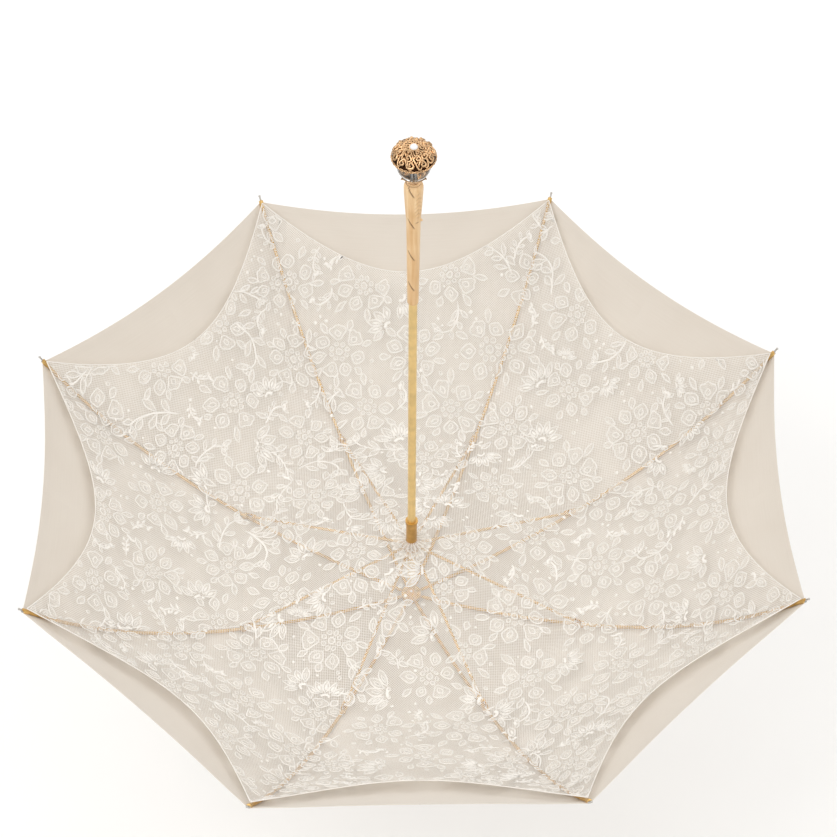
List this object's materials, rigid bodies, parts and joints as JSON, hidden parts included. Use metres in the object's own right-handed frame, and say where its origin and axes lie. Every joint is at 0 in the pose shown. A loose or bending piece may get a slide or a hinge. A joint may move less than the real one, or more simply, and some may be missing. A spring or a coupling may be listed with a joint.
{
  "type": "lace parasol",
  "caption": "Folding parasol with a cloth canopy, an open lace lining on a gilt rib frame, and a carved handle with a crystal and filigree knob.",
  "frame": {"origin": "middle of the carved handle, on the shaft's axis, where the hand holds the parasol", "axes": "+Z along the shaft from the ferrule to the knob, so the parasol is open with its handle up; the catches are on the +Y side; the first rib is 22.5 degrees from +X"},
  "size_m": [0.8992, 0.8992, 0.8637],
  "materials": {
    "gilt_steel": "satin",
    "gold": "polished",
    "steel": "satin",
    "cream_cloth": "matte woven",
    "ivory_lace": "corded lace",
    "carved_wood": "satin lacquer",
    "crystal": "polished",
    "stone": "polished"
  },
  "bodies": {
    "frame": {"shaft": "gilt_steel", "ferrule": "gold", "crown_notch": "gold", "crown_wire": "steel", "crown_cap": "gold", "crown_washer": "cream_cloth", "handle_stick": "carved_wood", "knob_rod": "steel", "calyx": "gold", "crystal_ball": "crystal", "filigree_cap": "gold", "cap_stone": "stone"},
    "rib_1": {"rib_1": "gilt_steel", "rib_tip_1": "gold", "canopy_panel_1": "cream_cloth", "lining_panel_1": "ivory_lace"},
    "stretcher_1": {"stretcher_1": "gilt_steel"},
    "rib_2": {"rib_2": "gilt_steel", "rib_tip_2": "gold", "canopy_panel_2": "cream_cloth", "lining_panel_2": "ivory_lace"},
    "stretcher_2": {"stretcher_2": "gilt_steel"},
    "rib_3": {"rib_3": "gilt_steel", "rib_tip_3": "gold", "canopy_panel_3": "cream_cloth", "lining_panel_3": "ivory_lace"},
    "stretcher_3": {"stretcher_3": "gilt_steel"},
    "rib_4": {"rib_4": "gilt_steel", "rib_tip_4": "gold", "canopy_panel_4": "cream_cloth", "lining_panel_4": "ivory_lace"},
    "stretcher_4": {"stretcher_4": "gilt_steel"},
    "rib_5": {"rib_5": "gilt_steel", "rib_tip_5": "gold", "canopy_panel_5": "cream_cloth", "lining_panel_5": "ivory_lace"},
    "stretcher_5": {"stretcher_5": "gilt_steel"},
    "rib_6": {"rib_6": "gilt_steel", "rib_tip_6": "gold", "canopy_panel_6": "cream_cloth", "lining_panel_6": "ivory_lace"},
    "stretcher_6": {"stretcher_6": "gilt_steel"},
    "rib_7": {"rib_7": "gilt_steel", "rib_tip_7": "gold", "canopy_panel_7": "cream_cloth", "lining_panel_7": "ivory_lace"},
    "stretcher_7": {"stretcher_7": "gilt_steel"},
    "rib_8": {"rib_8": "gilt_steel", "rib_tip_8": "gold", "canopy_panel_8": "cream_cloth", "lining_panel_8": "ivory_lace"},
    "stretcher_8": {"stretcher_8": "gilt_steel"},
    "runner": {"runner": "gold", "runner_wire": "steel", "lining_rosette": "ivory_lace"},
    "top_catch": {"top_catch": "steel"},
    "bottom_catch": {"bottom_catch": "steel"}
  },
  "joints": [
    {"name": "fold", "type": "hinge", "parent": "frame", "child": "rib_1", "pos_m": [0.00831, 0.00344, -0.647], "axis": [0.3827, -0.9239, 0], "range_deg": [0, 61.6], "deforming": ["canopy_panel_1", "canopy_panel_2", "canopy_panel_3", "canopy_panel_4", "canopy_panel_5", "canopy_panel_6", "canopy_panel_7", "canopy_panel_8", "lining_panel_1", "lining_panel_2", "lining_panel_3", "lining_panel_4", "lining_panel_5", "lining_panel_6", "lining_panel_7", "lining_panel_8", "top_catch", "bottom_catch", "lining_rosette"]},
    {"name": "stretcher_1_turn", "type": "hinge", "parent": "rib_1", "child": "stretcher_1", "pos_m": [0.2051, 0.08496, -0.59567], "axis": [0.3827, -0.9239, 0], "range_deg": [-123.2, 0]},
    {"name": "rib_2_fold", "type": "hinge", "parent": "frame", "child": "rib_2", "pos_m": [0.00344, 0.00831, -0.647], "axis": [0.9239, -0.3827, 0], "range_deg": [0, 61.6]},
    {"name": "stretcher_2_turn", "type": "hinge", "parent": "rib_2", "child": "stretcher_2", "pos_m": [0.08496, 0.2051, -0.59567], "axis": [0.9239, -0.3827, 0], "range_deg": [-123.2, 0]},
    {"name": "rib_3_fold", "type": "hinge", "parent": "frame", "child": "rib_3", "pos_m": [-0.00344, 0.00831, -0.647], "axis": [0.9239, 0.3827, 0], "range_deg": [0, 61.6]},
    {"name": "stretcher_3_turn", "type": "hinge", "parent": "rib_3", "child": "stretcher_3", "pos_m": [-0.08496, 0.2051, -0.59567], "axis": [0.9239, 0.3827, 0], "range_deg": [-123.2, 0]},
    {"name": "rib_4_fold", "type": "hinge", "parent": "frame", "child": "rib_4", "pos_m": [-0.00831, 0.00344, -0.647], "axis": [0.3827, 0.9239, 0], "range_deg": [0, 61.6]},
    {"name": "stretcher_4_turn", "type": "hinge", "parent": "rib_4", "child": "stretcher_4", "pos_m": [-0.2051, 0.08496, -0.59567], "axis": [0.3827, 0.9239, 0], "range_deg": [-123.2, 0]},
    {"name": "rib_5_fold", "type": "hinge", "parent": "frame", "child": "rib_5", "pos_m": [-0.00831, -0.00344, -0.647], "axis": [-0.3827, 0.9239, 0], "range_deg": [0, 61.6]},
    {"name": "stretcher_5_turn", "type": "hinge", "parent": "rib_5", "child": "stretcher_5", "pos_m": [-0.2051, -0.08496, -0.59567], "axis": [-0.3827, 0.9239, 0], "range_deg": [-123.2, 0]},
    {"name": "rib_6_fold", "type": "hinge", "parent": "frame", "child": "rib_6", "pos_m": [-0.00344, -0.00831, -0.647], "axis": [-0.9239, 0.3827, 0], "range_deg": [0, 61.6]},
    {"name": "stretcher_6_turn", "type": "hinge", "parent": "rib_6", "child": "stretcher_6", "pos_m": [-0.08496, -0.2051, -0.59567], "axis": [-0.9239, 0.3827, 0], "range_deg": [-123.2, 0]},
    {"name": "rib_7_fold", "type": "hinge", "parent": "frame", "child": "rib_7", "pos_m": [0.00344, -0.00831, -0.647], "axis": [-0.9239, -0.3827, 0], "range_deg": [0, 61.6]},
    {"name": "stretcher_7_turn", "type": "hinge", "parent": "rib_7", "child": "stretcher_7", "pos_m": [0.08496, -0.2051, -0.59567], "axis": [-0.9239, -0.3827, 0], "range_deg": [-123.2, 0]},
    {"name": "rib_8_fold", "type": "hinge", "parent": "frame", "child": "rib_8", "pos_m": [0.00831, -0.00344, -0.647], "axis": [-0.3827, -0.9239, 0], "range_deg": [0, 61.6]},
    {"name": "stretcher_8_turn", "type": "hinge", "parent": "rib_8", "child": "stretcher_8", "pos_m": [0.2051, -0.08496, -0.59567], "axis": [-0.3827, -0.9239, 0], "range_deg": [-123.2, 0]},
    {"name": "runner_level", "type": "hinge", "parent": "stretcher_1", "child": "runner", "pos_m": [0.00831, 0.00344, -0.54433], "axis": [0.3827, -0.9239, 0], "range_deg": [0, 61.6]},
    {"name": "top_catch_press", "type": "hinge", "parent": "frame", "child": "top_catch", "pos_m": [0, 0.00245, -0.47173], "axis": [-1, 0, 0], "range_deg": [0, 6.2], "stiffness_Nm_per_rad": 0.25},
    {"name": "bottom_catch_press", "type": "hinge", "parent": "frame", "child": "bottom_catch", "pos_m": [0, 0.00245, -0.24714], "axis": [1, 0, 0], "range_deg": [0, 6.2], "stiffness_Nm_per_rad": 0.25}
  ],
  "couplings": [
    {"joint": "stretcher_1_turn", "follows": "fold", "ratio": -2},
    {"joint": "rib_2_fold", "follows": "fold", "ratio": 1},
    {"joint": "stretcher_2_turn", "follows": "fold", "ratio": -2},
    {"joint": "rib_3_fold", "follows": "fold", "ratio": 1},
    {"joint": "stretcher_3_turn", "follows": "fold", "ratio": -2},
    {"joint": "rib_4_fold", "follows": "fold", "ratio": 1},
    {"joint": "stretcher_4_turn", "follows": "fold", "ratio": -2},
    {"joint": "rib_5_fold", "follows": "fold", "ratio": 1},
    {"joint": "stretcher_5_turn", "follows": "fold", "ratio": -2},
    {"joint": "rib_6_fold", "follows": "fold", "ratio": 1},
    {"joint": "stretcher_6_turn", "follows": "fold", "ratio": -2},
    {"joint": "rib_7_fold", "follows": "fold", "ratio": 1},
    {"joint": "stretcher_7_turn", "follows": "fold", "ratio": -2},
    {"joint": "rib_8_fold", "follows": "fold", "ratio": 1},
    {"joint": "stretcher_8_turn", "follows": "fold", "ratio": -2},
    {"joint": "runner_level", "follows": "fold", "ratio": 1}
  ]
}
